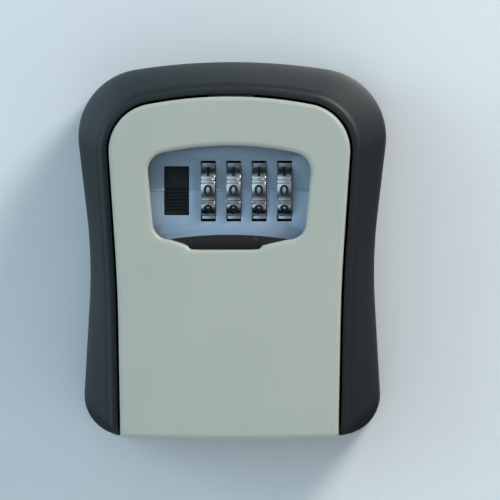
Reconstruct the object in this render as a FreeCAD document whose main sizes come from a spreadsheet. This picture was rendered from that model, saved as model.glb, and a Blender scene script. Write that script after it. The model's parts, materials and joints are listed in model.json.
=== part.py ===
import FreeCAD, Part
import math
import os
import re
import Sketcher

# Key lock box for a wall, about 95 x 116 x 40 mm.
#
# X runs to the right, Z up and Y into the wall. The wall is the plane y = 0, and the front looks
# along -Y. Every "depth" here is a distance from the wall, so a point at depth d has y = -d. Every
# "height" is a distance above the foot of the surround. The origin lies on the wall, at the middle
# of the four wall screws.

doc = FreeCAD.newDocument("KeyLockBox")
sheet = doc.addObject("Spreadsheet::Sheet", "Sizes")

SIZES = {
    # surround and case
    "overall_width": 95.0, "surround_height": 115.5, "overall_depth": 40.0,
    "case_corner": 21.0, "case_arch": 2.1,
    "waist_half": 43.75, "waist_radius": 160.0, "waist_height": 50.0,
    "foot_half": 45.6, "foot_corner": 12.4,
    "surround_wall": 2.2, "straight_depth": 18.0, "crease_depth": 34.5, "surround_depth": 35.8,
    "bevel_width": 3.2, "crease_foot": 4.0,
    "case_gap": 0.4, "case_wall": 2.2, "back_wall": 2.5, "case_depth": 20.0,
    "floor_wall": 2.4, "floor_block": 5.0, "floor_inset": 0.6,
    "post_radius": 3.0, "post_hole": 1.6, "head_radius": 2.8, "head_depth": 1.5,
    "post_upper_x": 37.0, "post_upper_height": 100.5, "post_lower_x": 39.0, "post_lower_height": 13.5,
    "screw_bite": 6.0, "panel_bite": 2.5, "cover_bite": 4.5, "strike_bite": 2.2,
    # wall screws
    "wall_centre": 57.6, "wall_spacing_x": 50.0, "wall_spacing_z": 60.0, "wall_hole": 2.4,
    # door
    "door_half": 37.2, "door_top": 104.6, "door_corner": 14.5, "door_arch": 2.2,
    "door_waist_half": 34.1, "door_waist_radius": 520.0, "door_waist_height": 24.0,
    "door_foot_half": 33.6, "door_drop": 0.95, "door_wall": 2.0, "door_gap": 0.8, "door_seam": 0.5,
    "door_edge": 1.2,
    # window in the door
    "window_half": 25.3, "window_low": 58.9, "window_high": 90.6, "window_corner": 5.0,
    "notch_half": 11.3, "notch_low": 57.1, "notch_shift": 1.3,
    # weather shutter and its rails
    "shutter_thick": 1.5, "shutter_set": 0.3, "shutter_half": 26.9, "shutter_low": 27.5,
    "shutter_high": 62.0, "shutter_arch": 2.9, "tab_half": 10.5, "tab_height": 3.8,
    "tab_out": 1.6, "tab_lift": 2.0, "rail_grip": 0.8, "rail_wall": 0.7, "rail_low": 26.0,
    "rail_high": 97.0, "slide_gap": 0.15,
    # dial panel
    "panel_depth": 30.7, "panel_thick": 1.3, "panel_half": 32.0, "panel_low": 56.0,
    "panel_high": 94.5, "panel_corner": 3.0,
    "slot_width": 4.6, "slot_height": 18.7,
    "button_slot_width": 7.7, "button_slot_height": 15.1, "button_x": 16.5, "button_height": 75.6,
    "boss_x": 30.3, "boss_low": 59.5, "boss_high": 91.0, "boss_radius": 2.2, "pilot": 1.0,
    "panel_hole": 1.3, "small_head": 1.9, "small_head_height": 1.2,
    # number wheels and code cams on the axle
    "wheel_centre": 5.09, "wheel_pitch": 7.85, "wheel_width": 4.3, "wheel_radius": 10.4,
    "wheel_height": 75.5, "axle_depth": 25.3,
    "axle_radius": 1.5, "axle_tip_radius": 1.1, "axle_tip": 0.8, "run_gap": 0.06,
    "cam_radius": 5.0, "cam_thick": 1.2, "cam_gap": 0.4, "hub_radius": 2.9, "hub_reach": 1.0,
    "socket_depth": 1.6, "socket_gap": 0.15, "gate_width": 3.4, "gate_floor": 3.0,
    "clip_thick": 0.3, "clip_radius": 2.2, "clip_gap": 0.08,
    # lock frame and cover
    "frame_half": 24.2, "frame_wall": 1.6, "frame_low": 60.0, "frame_high": 97.5,
    "frame_depth": 13.5, "cover_thick": 1.5, "cover_half": 23.9, "web_x": 11.4, "web_thick": 1.4,
    "web_high": 86.0, "flange_thick": 1.5, "ear_radius": 2.4, "ear_set": 0.8,
    "ear_reach": 10.0,
    # opening button and latch
    "button_width": 9.0, "button_low": 67.3, "button_high": 88.5,
    "button_set": 0.3, "latch_low": 71.0, "latch_thick": 2.8, "strap_width": 7.6,
    "bar_low": 91.3, "bar_high": 94.5, "finger_thick": 1.0, "finger_gap": 2.7,
    "bolt_half": 5.0, "bolt_depth": 16.4, "bolt_thick": 2.2, "bolt_high": 107.0,
    # springs
    "spring_radius": 2.2, "spring_wire": 0.25, "spring_turns": 4.0, "spring_depth": 23.9,
    "spring_play": 0.05, "leaf_thick": 0.3, "leaf_width": 3.0, "leaf_play": 0.15,
    # change lever
    "lever_thick": 1.4, "lever_gap": 0.8, "lever_low": 70.5, "lever_high": 80.5,
    "lever_depth": 8.5, "lever_front": 28.0,
    # strike and key hook
    "strike_half": 7.0, "strike_thick": 1.0, "strike_seat": 109.2, "strike_rear": 8.5,
    "strike_low": 103.3, "strike_gap": 0.4, "strike_hole_x": 4.4, "strike_hole_depth": 11.5,
    "hook_x": 0.0, "hook_height": 46.0, "hook_wire": 1.2, "hook_reach": 7.0, "hook_rise": 5.0,
    "plate_half": 4.0, "plate_tall": 6.0, "plate_thick": 1.0,
    # hinge
    "hinge_height": 6.0, "hinge_depth": 13.6, "pin_radius": 1.5, "pin_half": 33.3,
    "bush_radius": 2.1, "boss_hinge": 3.2, "ear_inner": 26.0, "ear_outer": 30.5, "ear_gap": 0.4,
    "door_foot_round": 1.8, "lug_inner": 31.0, "lug_outer": 33.6, "lug_high": 9.6, "lug_reach": 3.6,
    "swing_gap": 0.45,
}

for row, (name, value) in enumerate(SIZES.items(), 1):
    sheet.set("A%d" % row, name.replace("_", " "))
    sheet.set("B%d" % row, str(value))
    sheet.setAlias("B%d" % row, name)
doc.recompute()


nodes = {}


def number(text):
    """The value of a sum of sizes, such as "case_gap + case_wall"."""
    total = 0.0
    for sign, term in re.findall(r"([+-]?)\s*([\w.]+)", text):
        value = float(term) if term[0].isdigit() else float(sheet.get(term))
        total += -value if sign == "-" else value
    return total


def formula(text):
    """An expression on the sheet, written with its aliases."""
    return re.sub(r"\b[a-z]+(?:_[a-z]+)+\b|\bpilot\b", lambda found: "Sizes." + found.group(), text)


def bind(item, prop, text):
    item.setExpression(prop, formula(text))


def keep(name, item):
    """Name a finished piece; its file takes this name."""
    item.Label = name
    nodes[name] = item
    return item


def block(x, depth, height):
    """A box from its two sides in X, its two depths and its two heights."""
    item = doc.addObject("Part::Box", "Block")
    bind(item, "Length", "(%s) - (%s)" % (x[1], x[0]))
    bind(item, "Width", "(%s) - (%s)" % (depth[1], depth[0]))
    bind(item, "Height", "(%s) - (%s)" % (height[1], height[0]))
    bind(item, "Placement.Base.x", x[0])
    bind(item, "Placement.Base.y", "-(%s)" % depth[1])
    bind(item, "Placement.Base.z", "(%s) - wall_centre" % height[0])
    return item


TURNS = {
    "X": FreeCAD.Rotation(FreeCAD.Vector(0, 1, 0), 90),
    "Y": FreeCAD.Rotation(FreeCAD.Vector(1, 0, 0), 90),
    "Z": FreeCAD.Rotation(),
}


def place(item, axis, x, depth, height):
    """Stand an item's own Z along +X, away from the wall (Y) or up (Z)."""
    item.Placement.Rotation = TURNS[axis]
    bind(item, "Placement.Base.x", x)
    bind(item, "Placement.Base.y", "-(%s)" % depth)
    bind(item, "Placement.Base.z", "(%s) - wall_centre" % height)
    return item


def rod(axis, radius, length, x, depth, height):
    item = doc.addObject("Part::Cylinder", "Rod")
    bind(item, "Radius", radius)
    bind(item, "Height", length)
    return place(item, axis, x, depth, height)


def joined(*items):
    fuse = doc.addObject("Part::MultiFuse", "Joined")
    fuse.Shapes = list(items)
    fuse.Refine = True
    return fuse


def without(base, *tools):
    cut = doc.addObject("Part::Cut", "Without")
    cut.Base = base
    cut.Tool = tools[0] if len(tools) == 1 else joined(*tools)
    cut.Refine = True
    return cut


def group(*items):
    """Separate solids of one kind, kept in one node."""
    compound = doc.addObject("Part::Compound", "Group")
    compound.Links = list(items)
    return compound


def new_body(name):
    body = doc.addObject("PartDesign::Body", name)
    bind(body, "Placement.Base.z", "-wall_centre")
    return body


def new_sketch(body, depth, plane="XZ_Plane"):
    """A sketch parallel to the wall, at a depth, or in the plane across the box."""
    sketch = body.newObject("Sketcher::SketchObject", "Sketch")
    origin_plane = [item for item in body.Origin.OriginFeatures if item.Role == plane][0]
    sketch.AttachmentSupport = (origin_plane, "")
    sketch.MapMode = "FlatFace"
    bind(sketch, "AttachmentOffset.Base.z", depth)
    return sketch


ORIGIN = (-1, 1)
UPRIGHT = -2
START, END, CENTRE = 1, 2, 3


def set_at(sketch, geometry, point, x=None, height=None):
    """Hold a point of the sketch at a place given by formulas."""
    for kind, text in (("DistanceX", x), ("DistanceY", height)):
        if text is None:
            continue
        here = sketch.Geometry[geometry]
        spot = {START: "StartPoint", END: "EndPoint", CENTRE: "Center"}[point]
        value = getattr(getattr(here, spot), "x" if kind == "DistanceX" else "y")
        ahead = value >= 0
        pair = (*ORIGIN, geometry, point) if ahead else (geometry, point, *ORIGIN)
        index = sketch.addConstraint(Sketcher.Constraint(kind, *pair, abs(value)))
        bind(sketch, "Constraints[%d]" % index, text if ahead else "-(%s)" % text)


def set_radius(sketch, geometry, text):
    radius = sketch.Geometry[geometry].Radius
    index = sketch.addConstraint(Sketcher.Constraint("Radius", geometry, radius))
    bind(sketch, "Constraints[%d]" % index, text)


def vector(x, y):
    return FreeCAD.Vector(x, y, 0)


def arc(centre, radius, start, end):
    circle = Part.Circle(vector(*centre), FreeCAD.Vector(0, 0, 1), radius)
    return Part.ArcOfCircle(circle, start, end)


def touching_line(inner, inner_radius, outer, outer_radius, lean):
    """The direction square to the line that runs between two circles and touches both."""
    across, up = outer[0] - inner[0], outer[1] - inner[1]
    spread = math.acos((inner_radius + outer_radius) / math.hypot(across, up))
    return math.atan2(up, across) + lean * spread


def point_at(centre, radius, angle):
    return (centre[0] + radius * math.cos(angle), centre[1] + radius * math.sin(angle))


def mirrored(point):
    return (-point[0], point[1])


OUTLINES = {
    "case": {"half": "overall_width / 2", "top": "surround_height", "arch": "case_arch",
             "corner": "case_corner", "waist": ("waist_half", "waist_radius", "waist_height")},
    "door": {"half": "door_half", "top": "door_top", "arch": "door_arch", "corner": "door_corner",
             "waist": ("door_waist_half", "door_waist_radius", "door_waist_height")},
}


def draw_outline(sketch, kind, inset, foot):
    """The arched outline of the case or the door, moved inwards by an inset.

    Down each side it runs through a round shoulder, a straight, a long hollow arc at the waist, a
    straight and a round foot. The foot is given by its half width, its radius and its base.
    """
    shape = OUTLINES[kind]
    waist_half, waist_radius, waist_height = shape["waist"]
    foot_half, foot_round, base = foot
    half = number("overall_width") / 2 if kind == "case" else number(shape["half"])
    corner, arch, cut = number(shape["corner"]), number(shape["arch"]), number(inset)
    shoulder = (half - corner, number(shape["top"]) - arch - corner)
    crown = (arch ** 2 + shoulder[0] ** 2) / (2 * arch) + corner
    crown_at = (0, number(shape["top"]) - crown)
    waist = (number(waist_half) + number(waist_radius), number(waist_height))
    foot_at = (number(foot_half) - number(foot_round), number(base) + number(foot_round))
    radii = (corner - cut, number(waist_radius) + cut, number(foot_round))
    lean_top = math.atan2(shoulder[1] - crown_at[1], shoulder[0])
    lean_upper = touching_line(shoulder, radii[0], waist, radii[1], 1)
    lean_lower = touching_line(foot_at, radii[2], waist, radii[1], -1)
    turn = math.pi
    right = [
        arc(shoulder, radii[0], lean_upper, lean_top),
        Part.LineSegment(vector(*point_at(shoulder, radii[0], lean_upper)),
                         vector(*point_at(waist, radii[1], lean_upper + turn))),
        arc(waist, radii[1], lean_upper + turn, lean_lower + turn),
        Part.LineSegment(vector(*point_at(waist, radii[1], lean_lower + turn)),
                         vector(*point_at(foot_at, radii[2], lean_lower))),
        arc(foot_at, radii[2], -turn / 2, lean_lower),
    ]
    left = [
        arc(mirrored(shoulder), radii[0], turn - lean_top, turn - lean_upper),
        Part.LineSegment(vector(*mirrored(point_at(shoulder, radii[0], lean_upper))),
                         vector(*mirrored(point_at(waist, radii[1], lean_upper + turn)))),
        arc(mirrored(waist), radii[1], -lean_lower, -lean_upper),
        Part.LineSegment(vector(*mirrored(point_at(waist, radii[1], lean_lower + turn))),
                         vector(*mirrored(point_at(foot_at, radii[2], lean_lower)))),
        arc(mirrored(foot_at), radii[2], turn - lean_lower, 1.5 * turn),
    ]
    crown_arc = arc(crown_at, crown - cut, lean_top, turn - lean_top)
    ground = Part.LineSegment(vector(-foot_at[0], number(base)), vector(foot_at[0], number(base)))
    ids = [sketch.addGeometry(item, False) for item in [crown_arc] + right + left + [ground]]
    crown_id, right_ids, left_ids, ground_id = ids[0], ids[1:6], ids[6:11], ids[11]

    def tangent(one, one_end, other, other_end):
        sketch.addConstraint(Sketcher.Constraint("Tangent", one, one_end, other, other_end))

    for (shoulder_id, upper, waist_id, lower, foot_id), ends in (
            (right_ids, (END, START, START, END, END, START)),
            (left_ids, (START, END, END, START, START, END))):
        crown_end = START if ends[0] == END else END
        tangent(crown_id, crown_end, shoulder_id, ends[0])
        tangent(shoulder_id, ends[1], upper, START)
        tangent(upper, END, waist_id, ends[2])
        tangent(waist_id, ends[3], lower, START)
        tangent(lower, END, foot_id, ends[4])
        tangent(foot_id, ends[5], ground_id, END if ends[5] == START else START)
    for one, other in zip(right_ids, left_ids):
        if hasattr(sketch.Geometry[one], "Radius"):
            sketch.addConstraint(Sketcher.Constraint("Symmetric", one, CENTRE, other, CENTRE, UPRIGHT))
            sketch.addConstraint(Sketcher.Constraint("Equal", one, other))
    set_at(sketch, right_ids[0], CENTRE, "%s - %s" % (shape["half"], shape["corner"]),
           "%s - %s - %s" % (shape["top"], shape["arch"], shape["corner"]))
    set_at(sketch, right_ids[2], CENTRE, "%s + %s" % (waist_half, waist_radius), waist_height)
    set_at(sketch, right_ids[4], CENTRE, "%s - (%s)" % (foot_half, foot_round),
           "%s + %s" % (base, foot_round))
    set_radius(sketch, right_ids[0], "%s - (%s)" % (shape["corner"], inset))
    set_radius(sketch, right_ids[2], "%s + (%s)" % (waist_radius, inset))
    set_radius(sketch, right_ids[4], foot_round)
    set_radius(sketch, crown_id, "({a} ^ 2 + ({h} - {c}) ^ 2) / (2 * {a}) + {c} - ({i})".format(
        a=shape["arch"], h=shape["half"], c=shape["corner"], i=inset))


def pad(body, sketch, length):
    """Raise a sketch away from the wall."""
    feature = body.newObject("PartDesign::Pad", "Pad")
    feature.Profile = sketch
    bind(feature, "Length", length)
    sketch.Visibility = False
    return feature


def outline_sketch(body, depth, kind, inset, foot):
    sketch = new_sketch(body, depth)
    draw_outline(sketch, kind, inset, foot)
    return sketch


def outline_slab(name, near, far, kind, inset, foot):
    """A plate of one of the two outlines, between two depths."""
    body = new_body(name)
    pad(body, outline_sketch(body, near, kind, inset, foot), "(%s) - (%s)" % (far, near))
    return body


def case_foot(inset):
    less = inset.replace("+", "-")
    return ("foot_half - " + less, "foot_corner - " + less, inset)


def door_foot(inset, base):
    return ("door_foot_half - " + inset, "door_foot_round", base)


def both_sides(inner, outer):
    """The range of X between two distances from the middle, on the right and on the left."""
    return [(inner, outer), ("-(%s)" % outer, "-(%s)" % inner)]


DOOR_REAR = "case_depth + door_seam"
DOOR_FRONT = "overall_depth"
CASE_INSET = "surround_wall + case_gap"
CAVITY_INSET = "surround_wall + case_gap + case_wall"
POSTS = [(sign + x, height) for sign in ("", "-")
         for x, height in (("post_upper_x", "post_upper_height"),
                           ("post_lower_x", "post_lower_height"))]


def surround():
    """The moulded cover: upright near the wall, then sloping in to a crease beside the door."""
    body = new_body("SurroundBody")
    pad(body, outline_sketch(body, "0", "case", "0", case_foot("0")), "straight_depth")
    crease_inset = "0 - door_gap - bevel_width"
    crease_foot = ("door_foot_half + door_gap + bevel_width", "crease_foot", "0")
    opening_foot = ("door_foot_half + door_gap", "door_foot_round", "0")
    levels = [
        outline_sketch(body, "straight_depth", "case", "0", case_foot("0")),
        outline_sketch(body, "crease_depth", "door", crease_inset, crease_foot),
        outline_sketch(body, "surround_depth", "door", "0 - door_gap", opening_foot),
    ]
    for lower, upper in zip(levels, levels[1:]):
        loft = body.newObject("PartDesign::AdditiveLoft", "Loft")
        loft.Profile = lower
        loft.Sections = [upper]
        loft.Ruled = True
    room = outline_slab("CaseRoom", "0", "case_depth + case_gap / 2", "case", "surround_wall",
                        case_foot("surround_wall"))
    doorway = outline_slab("Doorway", "case_depth - floor_block", "overall_depth", "door",
                           "0 - door_gap", ("door_foot_half + door_gap", "door_foot_round", "0 - 8.0"))
    gate = block(("-door_foot_half - door_gap", "door_foot_half + door_gap"),
                 ("-1", "overall_depth"), ("-2", "floor_block + case_gap"))
    pilots = [rod("Y", "pilot", "screw_bite", x, "case_depth", height) for x, height in POSTS]
    keep("surround", without(body, room, doorway, gate, *pilots))


def case_shell():
    """The cast tray that is screwed to the wall."""
    shell = outline_slab("CaseBody", "0", "case_depth", "case", CASE_INSET, case_foot(CASE_INSET))
    cavity = outline_slab("CaseCavity", "back_wall", "case_depth + 1", "case", CAVITY_INSET,
                          case_foot(CAVITY_INSET))
    floor_half = "door_foot_half + door_gap - floor_inset"
    floor = block(("-(%s)" % floor_half, floor_half), ("0", "case_depth"), ("0", "floor_block"))
    trough = block(("-lug_outer", "lug_outer"), ("back_wall", "case_depth + 1"),
                   ("floor_wall", "floor_block + case_wall"))
    lugs = [block(x, ("hinge_depth - lug_reach", "case_depth"), ("floor_wall / 2", "lug_high"))
            for x in both_sides("lug_inner", "lug_outer")]
    posts = [rod("Y", "post_radius", "case_depth", x, "0", height) for x, height in POSTS]
    seat = block(("-strike_half - 2", "strike_half + 2"), ("strike_rear - 3", "case_depth - 0.4"),
                 ("strike_seat", "surround_height - surround_wall - case_gap - case_wall / 2"))
    solid = joined(without(joined(shell, floor), cavity, trough), *lugs, *posts, seat)
    notches = [block(x, ("hinge_depth - boss_hinge - ear_gap", "case_depth + 1"), ("-1", "floor_block"))
               for x in both_sides("ear_inner - ear_gap", "ear_outer + ear_gap")]
    cuts = [rod("X", "pin_radius", "2 * pin_half", "-pin_half", "hinge_depth", "hinge_height")]
    for x, height in POSTS:
        cuts.append(rod("Y", "post_hole", "case_depth + 2", x, "-1", height))
        cuts.append(rod("Y", "head_radius + 0.3", "head_depth + 1", x, "-1", height))
    for side in ("", "-"):
        for lift in ("", "-"):
            cuts.append(rod("Y", "wall_hole", "back_wall + 2", side + "wall_spacing_x / 2", "-1",
                            "wall_centre + (%swall_spacing_z / 2)" % lift))
        cuts.append(rod("Z", "pilot", "3.5", side + "strike_hole_x", "strike_hole_depth",
                        "strike_seat - 0.5"))
    keep("case_shell", without(solid, *notches, *cuts))


def round_block(x, depth, height, radius):
    """A block with its four edges along Y rounded."""
    item = doc.addObject("Part::Fillet", "RoundBlock")
    base = block(x, depth, height)
    item.Base = base
    doc.recompute()
    value = number(radius)
    item.Edges = [(index, value, value) for index, edge in enumerate(base.Shape.Edges, 1)
                  if abs(edge.Vertexes[0].Point.y - edge.Vertexes[1].Point.y) > value / 100]
    return item


def four_bosses(make):
    return [make(side + "boss_x", height) for side in ("", "-")
            for height in ("boss_low", "boss_high")]


def door_shell():
    """The cast door: a shell open to the rear, with the window and two hinge ears."""
    body = new_body("DoorBody")
    foot = door_foot("0", "0 - door_drop")
    blank = pad(body, outline_sketch(body, DOOR_REAR, "door", "0", foot),
                "%s - (%s)" % (DOOR_FRONT, DOOR_REAR))
    doc.recompute()
    front_edge = ["Edge%d" % index for index, edge in enumerate(body.Shape.Edges, 1)
                  if edge.BoundBox.YMax < -number(DOOR_FRONT) + 0.01][0]
    edge_round = body.newObject("PartDesign::Fillet", "FrontEdge")
    edge_round.Base = (blank, [front_edge])
    bind(edge_round, "Radius", "door_edge")
    inside = outline_slab("DoorRoom", "case_depth", DOOR_FRONT + " - door_wall", "door", "door_wall",
                          ("door_foot_half - door_wall", "door_foot_round", "door_wall - door_drop"))
    window = round_block(("-window_half", "window_half"), ("case_depth", "overall_depth + 1"),
                         ("window_low", "window_high"), "window_corner")
    notch = block(("-notch_half - notch_shift", "notch_half - notch_shift"),
                  ("case_depth", "overall_depth + 1"), ("notch_low", "window_low + 1"))
    bosses = four_bosses(lambda x, height: rod(
        "Y", "boss_radius", "overall_depth - door_wall / 2 - panel_depth - panel_thick", x,
        "panel_depth + panel_thick", height))
    ears, bores = [], []
    for x in both_sides("ear_inner", "ear_outer"):
        ears.append(block(x, (DOOR_REAR, "overall_depth - door_wall / 2"),
                          ("door_wall / 2 - door_drop", "hinge_height + boss_hinge")))
        ears.append(block(x, ("hinge_depth", DOOR_REAR + " + 1"),
                          ("hinge_height - boss_hinge", "hinge_height + boss_hinge")))
        ears.append(rod("X", "boss_hinge", "ear_outer - ear_inner", x[0], "hinge_depth",
                        "hinge_height"))
        bores.append(rod("X", "bush_radius", "ear_outer - ear_inner + 2", x[0] + " - 1",
                         "hinge_depth", "hinge_height"))
    pilots = four_bosses(lambda x, height: rod("Y", "pilot", "5", x, "panel_depth", height))
    swing = rod("X", "sqrt((case_depth - hinge_depth) ^ 2 + hinge_height ^ 2) + swing_gap",
                "2 * door_half", "-door_half", "hinge_depth", "hinge_height")
    hollow = without(body, inside, swing)
    keep("door_shell", without(joined(hollow, *bosses, *ears), window, notch, *bores, *pilots))


def hinge():
    """The pin through the case's lugs, and the two bushes that the door turns on."""
    keep("hinge_pin", rod("X", "pin_radius", "2 * pin_half", "-pin_half", "hinge_depth",
                          "hinge_height"))
    bushes = [without(rod("X", "bush_radius", "ear_outer - ear_inner", x, "hinge_depth",
                          "hinge_height"),
                      rod("X", "pin_radius + run_gap", "ear_outer - ear_inner + 2", x + " - 1",
                          "hinge_depth", "hinge_height")) for x in ("ear_inner", "-ear_outer")]
    keep("hinge_bushes", group(*bushes))


SHUTTER_FRONT = "overall_depth - door_wall - shutter_set"
SHUTTER_REAR = "overall_depth - door_wall - shutter_set - shutter_thick"


def shutter():
    """The weather shutter, its finger tab, and the two rails that guide it."""
    body = new_body("ShutterBody")
    sketch = new_sketch(body, SHUTTER_REAR)
    half, low, high = number("shutter_half"), number("shutter_low"), number("shutter_high")
    rise = number("shutter_arch")
    corners = [vector(-half, low), vector(half, low), vector(half, high - rise),
               vector(-half, high - rise)]
    sides = [Part.LineSegment(corners[3], corners[0]), Part.LineSegment(corners[0], corners[1]),
             Part.LineSegment(corners[1], corners[2])]
    crest = Part.Arc(corners[2], vector(0, high), corners[3])
    ids = [sketch.addGeometry(item, False) for item in sides + [crest]]
    for one, other in zip(ids, ids[1:]):
        sketch.addConstraint(Sketcher.Constraint("Coincident", one, END, other, START))
    sketch.addConstraint(Sketcher.Constraint("Coincident", ids[3], END, ids[0], START))
    sketch.addConstraint(Sketcher.Constraint("Vertical", ids[0]))
    sketch.addConstraint(Sketcher.Constraint("Vertical", ids[2]))
    sketch.addConstraint(Sketcher.Constraint("Symmetric", ids[1], START, ids[1], END, UPRIGHT))
    sketch.addConstraint(Sketcher.Constraint("Horizontal", ids[3], START, ids[3], END))
    set_at(sketch, ids[1], END, "shutter_half", "shutter_low")
    set_at(sketch, ids[2], END, None, "shutter_high - shutter_arch")
    set_radius(sketch, ids[3], "(shutter_half ^ 2 + shutter_arch ^ 2) / (2 * shutter_arch)")
    pad(body, sketch, "shutter_thick")
    tab = round_block(("-tab_half - notch_shift", "tab_half - notch_shift"),
                      (SHUTTER_FRONT + " - 0.5", SHUTTER_FRONT + " + tab_out"),
                      ("shutter_high - shutter_arch + tab_lift - tab_height",
                       "shutter_high - shutter_arch + tab_lift"),
                      "slide_gap")
    keep("weather_shutter", joined(body, tab))
    rails = []
    for x, groove_x in zip(
            both_sides("shutter_half - rail_grip", "shutter_half + slide_gap + rail_wall"),
            both_sides("shutter_half - rail_grip - 1", "shutter_half + slide_gap")):
        bar = block(x, (SHUTTER_REAR + " - slide_gap - rail_wall", "overall_depth - door_wall"),
                    ("rail_low", "rail_high"))
        groove = block(groove_x, (SHUTTER_REAR + " - slide_gap", SHUTTER_FRONT + " + slide_gap"),
                       ("rail_low - 1", "rail_high + 1"))
        rails.append(without(bar, groove))
    keep("guide_rails", group(*rails))


def wheel_x(index):
    """The middle of a number wheel, counted from the left."""
    return "(%d * wheel_pitch / 2 + wheel_centre)" % (2 * index - 3)


WHEELS = range(4)
WHEEL_AT = ("axle_depth", "wheel_height")


def dial_panel():
    """The flat plate behind the window, with a slot for each wheel and one for the button."""
    plate = round_block(("-panel_half", "panel_half"), ("panel_depth", "panel_depth + panel_thick"),
                        ("panel_low", "panel_high"), "panel_corner")
    through = ("panel_depth - 1", "panel_depth + panel_thick + 1")
    cuts = [block((wheel_x(index) + " - slot_width / 2", wheel_x(index) + " + slot_width / 2"),
                  through, ("wheel_height - slot_height / 2", "wheel_height + slot_height / 2"))
            for index in WHEELS]
    cuts.append(block(("-button_x - button_slot_width / 2", "-button_x + button_slot_width / 2"),
                      through, ("button_height - button_slot_height / 2",
                                "button_height + button_slot_height / 2")))
    cuts += four_bosses(lambda x, height: rod("Y", "panel_hole", "panel_thick + 2", x,
                                              "panel_depth - 1", height))
    keep("dial_panel", without(plate, *cuts))


def number_wheel(index):
    """One wheel: ten flat tiles between ten grooves, a bore, and a ten-sided socket for its cam."""
    left = wheel_x(index) + " - wheel_width / 2"
    right = wheel_x(index) + " + wheel_width / 2"
    wheel = place(doc.addObject("Part::Prism", "Wheel"), "X", left, *WHEEL_AT)
    wheel.Polygon = 10
    bind(wheel, "Circumradius", "wheel_radius")
    bind(wheel, "Height", "wheel_width")
    wheel.Placement.Rotation = TURNS["X"].multiply(FreeCAD.Rotation(FreeCAD.Vector(0, 0, 1), 18))
    socket = decagon("hub_radius + socket_gap", "socket_depth + 1", right + " - socket_depth")
    bore = rod("X", "axle_radius + run_gap", "wheel_width + 2", left + " - 1", *WHEEL_AT)
    keep("number_wheel_%d" % (index + 1), without(wheel, socket, bore))


def decagon(radius, length, x):
    prism = place(doc.addObject("Part::Prism", "Decagon"), "X", x, *WHEEL_AT)
    prism.Polygon = 10
    bind(prism, "Circumradius", radius)
    bind(prism, "Height", length)
    return prism


def cam_left(index):
    return wheel_x(index) + " + wheel_width / 2 + cam_gap"


def code_cam(index):
    """A gated disc whose ten-sided hub drives it from its wheel."""
    left = cam_left(index)
    disc = rod("X", "cam_radius", "cam_thick", left, *WHEEL_AT)
    gate = block((left + " - 1", left + " + cam_thick + 1"),
                 ("axle_depth - gate_width / 2", "axle_depth + gate_width / 2"),
                 ("wheel_height + gate_floor", "wheel_height + cam_radius + 1"))
    hub = decagon("hub_radius", "hub_reach + cam_gap + cam_thick / 2", left + " - cam_gap - hub_reach")
    bore = rod("X", "axle_radius + run_gap", "wheel_width + 2", left + " - 2", *WHEEL_AT)
    keep("code_cam_%d" % (index + 1), without(joined(without(disc, gate), hub), bore))


def axle_group():
    """The axle, the clips that hold the cams on it, and the lever that shifts it to change the code."""
    start = "-web_x - 0.5"
    shoulder = "frame_half + lever_gap"
    axle = joined(rod("X", "axle_radius", "%s - (%s)" % (shoulder, start), start, *WHEEL_AT),
                  rod("X", "axle_tip_radius", "lever_thick + axle_tip", shoulder, *WHEEL_AT))
    keep("cam_axle", axle)
    clips = []
    for index in WHEELS:
        for x in (cam_left(index) + " + cam_thick + clip_gap",
                  cam_left(index) + " - cam_gap - hub_reach - clip_gap - clip_thick"):
            clips.append(without(rod("X", "clip_radius", "clip_thick", x, *WHEEL_AT),
                                 rod("X", "axle_radius", "clip_thick + 1", x + " - 0.5", *WHEEL_AT)))
    keep("axle_clips", group(*clips))
    plate = round_block((shoulder, shoulder + " + lever_thick"), ("lever_depth", "lever_front"),
                        ("lever_low", "lever_high"), "slide_gap")
    hole = rod("X", "axle_tip_radius", "lever_thick + 2", shoulder + " - 1", *WHEEL_AT)
    keep("change_lever", without(plate, hole))


CORNERS = [(x, height) for x in ("frame_half - frame_wall - ear_set", "-frame_half + frame_wall + ear_set")
           for height in ("frame_low + frame_wall + ear_set", "frame_high - frame_wall - ear_set")]


def lock_frame():
    """The frame that carries the axle, the latch and the springs behind the panel."""
    outer = block(("-frame_half", "frame_half"), ("frame_depth", "panel_depth"),
                  ("frame_low", "frame_high"))
    inner_half = "frame_half - frame_wall"
    room = block(("-(%s)" % inner_half, inner_half), ("frame_depth - 1", "panel_depth + 1"),
                 ("frame_low + frame_wall", "frame_high - frame_wall"))
    web = block(("-web_x", "-web_x + web_thick"), ("frame_depth", "panel_depth"),
                ("frame_low + frame_wall / 2", "web_high"))
    flanges = [block(x, ("panel_depth - flange_thick", "panel_depth"), ("panel_low + 1", "panel_high - 1"))
               for x in both_sides("frame_half - frame_wall / 2", "panel_half - slide_gap")]
    cuts = [rod("X", "axle_radius + run_gap", "2 * frame_half", "-web_x - 1", *WHEEL_AT),
            block(("-bolt_half - ear_gap", "bolt_half + ear_gap"),
                  ("bolt_depth - ear_gap", "bolt_depth + bolt_thick + ear_gap"),
                  ("frame_high - frame_wall - 1", "frame_high + 1"))]
    cuts += four_bosses(lambda x, height: rod("Y", "panel_hole", "flange_thick + 2", x,
                                              "panel_depth - flange_thick - 1", height))
    corner_posts, corner_holes = [], []
    for x, height in CORNERS:
        corner_posts.append(rod("Y", "ear_radius", "ear_reach", x, "frame_depth", height))
        corner_holes.append(rod("Y", "pilot", "6", x, "frame_depth - 1", height))
    solid = joined(without(outer, room), web, *flanges, *corner_posts)
    keep("lock_frame", without(solid, *cuts, *corner_holes))


def lock_cover():
    plate = round_block(("-cover_half", "cover_half"), ("frame_depth - cover_thick", "frame_depth"),
                        ("frame_low + 0.3", "frame_high - 0.3"), "door_edge")
    holes = [rod("Y", "panel_hole", "cover_thick + 2", x, "frame_depth - cover_thick - 1", height)
             for x, height in CORNERS]
    keep("lock_cover", without(plate, *holes))


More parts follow.
